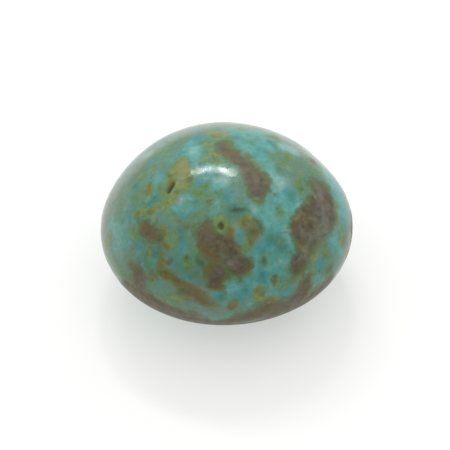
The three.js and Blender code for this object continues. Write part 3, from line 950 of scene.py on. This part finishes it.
def handPolish(tree, place, matrixCover, pit, finish):
    # roughness: waxy and a little uneven, duller on the matrix and dull in the pits
    polish = addNode(tree, "ShaderNodeTexNoise",
                     {"Vector": place, "Scale": 1 / (finish["polishSize"] * mm), **cloudNoise})
    best, worst = finish["roughness"]
    roughness = addNode(tree, "ShaderNodeMapRange",
                        {"Value": polish.outputs["Fac"], "To Min": best, "To Max": worst, **cloudSpan})
    onMatrix = addNode(tree, "ShaderNodeMix",
                       {0: matrixCover, 2: roughness.outputs[0], 3: finish["matrixRoughness"]})
    inPit = addNode(tree, "ShaderNodeMapRange", {"Value": pit, "From Max": finish["pitDepths"][0]})
    return addNode(tree, "ShaderNodeMix",
                   {0: inPit.outputs[0], 2: onMatrix.outputs[0], 3: finish["pitRoughness"]}).outputs[0]


def polishedTurquoise(layers, finish):
    # Turquoise with limonite matrix, tumbled and hand polished: an opaque, slightly chalky
    # blue-green body under a waxy shine, duller where the brown matrix comes through
    material = bpy.data.materials.new("polishedTurquoise")
    material.use_nodes = True
    tree = material.node_tree
    tree.nodes.clear()
    place = addNode(tree, "ShaderNodeTexCoord", {}).outputs["Object"]

    colour = turquoiseGround(tree, place, finish)
    cover = {}
    for name, layer in layers.items():
        field = addNode(tree, "ShaderNodeAttribute", {}, attribute_name=name).outputs["Fac"]
        if name == "brownMatrix":
            for ring in (finish["greenRing"], finish["oliveRing"]):
                colour = alterationRing(tree, place, field, colour, ring, finish["ringSpan"])
        cover[name] = mineralCover(tree, place, field, layer)
        body = mineralColour(tree, place, layer)
        colour = addNode(tree, "ShaderNodeMix", {0: cover[name], 6: colour, 7: body},
                         data_type="RGBA").outputs[2]

    grain = addNode(tree, "ShaderNodeTexNoise",
                    {"Vector": place, "Scale": 1 / (finish["grainSize"] * mm), "Detail": 2.0,
                     "Roughness": 0.7})
    grainValue = addNode(tree, "ShaderNodeMapRange",
                         {"Value": grain.outputs["Fac"], "To Min": 1 - finish["grainDepth"],
                          "To Max": 1 + finish["grainDepth"], **grainSpan})
    colour = addNode(tree, "ShaderNodeHueSaturation",
                     {"Value": grainValue.outputs[0], "Color": colour}).outputs[0]

    pit = addNode(tree, "ShaderNodeAttribute", {}, attribute_name="pitDirt").outputs["Fac"]
    dirt = addNode(tree, "ShaderNodeMapRange", {"Value": pit, "From Max": finish["pitDepths"][1]},
                   interpolation_type="SMOOTHSTEP")
    colour = addNode(tree, "ShaderNodeMix",
                     {0: dirt.outputs[0], 6: colour, 7: hexColour(finish["pitColour"])},
                     data_type="RGBA").outputs[2]

    ripple = addNode(tree, "ShaderNodeTexNoise",
                     {"Vector": place, "Scale": 1 / (finish["bumpSize"] * mm), "Detail": 3.0})
    bump = addNode(tree, "ShaderNodeBump", {"Height": ripple.outputs["Fac"], "Strength": 1.0,
                                            "Distance": finish["bumpDepth"] * mm})
    roughness = handPolish(tree, place, cover["brownMatrix"], pit, finish)
    shader = addNode(tree, "ShaderNodeBsdfPrincipled",
                     {"Base Color": colour, "Roughness": roughness, "IOR": finish["ior"],
                      "Normal": bump.outputs["Normal"]})
    addNode(tree, "ShaderNodeOutputMaterial", {"Surface": shader.outputs[0]})
    return material


stone.data.materials.append(polishedTurquoise(mineralLayers, stoneFinish))
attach(stone, "root")
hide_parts("turquoise_nugget")
print("material made")


# Floor and light

studioSetup = {
    "floorSize": 4.0,        # m
    "floorColour": "#c9c9c8",
    "floorGlow": 0.43,       # light that comes up through it, where white paper is 1
    "floorRoughness": 0.9,
    "floorSpecular": 0.2,
    "airColour": "#ffffff",
    "frontAir": 0.42,        # brightness of the room on the camera's side, where white paper is 1
    "backAir": 1.08,         # and of the pale wall and ceiling behind the stone
    "brightTurn": 92,        # the way to the middle of the bright part
    "brightRise": 62,
    "dimFacing": -0.3,       # cosine to that way where the front air's brightness is reached
}

softLights = {               # brightness where white paper is 1, place by turn and rise, sizes in m
    "softBoxWest": {"brightness": 16.0, "turn": 108.8, "rise": 49.4, "roll": -13, "distance": 0.35,
                    "width": 0.068, "height": 0.034},
    "softBoxEast": {"brightness": 36.0, "turn": 90.5, "rise": 54.3, "roll": -40, "distance": 0.35,
                    "width": 0.060, "height": 0.024},
}


def makeFloor(setup):
    half = setup["floorSize"] / 2
    level = float(nuggetLow[2]) * mm
    mesh = bpy.data.meshes.new("floor")
    corners = [(-half, -half, level), (half, -half, level), (half, half, level), (-half, half, level)]
    mesh.from_pydata(corners, [], [(0, 1, 2, 3)])
    floor = bpy.data.objects.new("floor", mesh)
    bpy.context.scene.collection.objects.link(floor)
    # white acrylic sheet lit from below, which keeps the shadow faint
    material = bpy.data.materials.new("opalAcrylic")
    material.use_nodes = True
    finish = {
        "Base Color": hexColour(setup["floorColour"]),
        "Emission Color": hexColour(setup["airColour"]),
        "Emission Strength": setup["floorGlow"],
        "Roughness": setup["floorRoughness"],
        "Specular IOR Level": setup["floorSpecular"],
    }
    for socket, value in finish.items():
        material.node_tree.nodes["Principled BSDF"].inputs[socket].default_value = value
    mesh.materials.append(material)


def makeLight(name, light):
    # a flat panel facing the stone; its watts are brightness times pi times its area
    data = bpy.data.lights.new(name, "AREA")
    data.shape = "RECTANGLE"
    data.size = light["width"]
    data.size_y = light["height"]
    data.energy = light["brightness"] * math.pi * light["width"] * light["height"]
    lamp = bpy.data.objects.new(name, data)
    bpy.context.scene.collection.objects.link(lamp)
    way = Vector(wayOf(light["turn"], light["rise"]))
    middle = Vector((nuggetLow + nuggetHigh) / 2 * mm)
    lamp.location = middle + way * light["distance"]
    facing = way.to_track_quat("Z", "Y") @ Quaternion((0, 0, 1), math.radians(light["roll"]))
    lamp.rotation_euler = facing.to_euler()
    lamp.visible_camera = False


def makeAir(setup):
    # the room's brightness runs smoothly from the front air to the back air with the cosine
    # between each way and the bright way
    world = bpy.data.worlds.new("studioAir")
    world.use_nodes = True
    tree = world.node_tree
    tree.nodes.clear()
    way = addNode(tree, "ShaderNodeTexCoord", {}).outputs["Generated"]
    bright = wayOf(setup["brightTurn"], setup["brightRise"])
    facing = addNode(tree, "ShaderNodeVectorMath", {0: way, 1: bright}, operation="DOT_PRODUCT")
    brightness = addNode(tree, "ShaderNodeMapRange",
                         {"Value": facing.outputs["Value"], "From Min": setup["dimFacing"],
                          "To Min": setup["frontAir"], "To Max": setup["backAir"]},
                         interpolation_type="SMOOTHSTEP")
    background = addNode(tree, "ShaderNodeBackground",
                         {"Color": hexColour(setup["airColour"]), "Strength": brightness.outputs[0]})
    addNode(tree, "ShaderNodeOutputWorld", {"Surface": background.outputs[0]})
    bpy.context.scene.world = world


makeFloor(studioSetup)
makeAir(studioSetup)
for lightName, lightPlan in softLights.items():
    makeLight(lightName, lightPlan)
bpy.context.scene.view_settings.view_transform = "Standard"
print("floor and light placed")
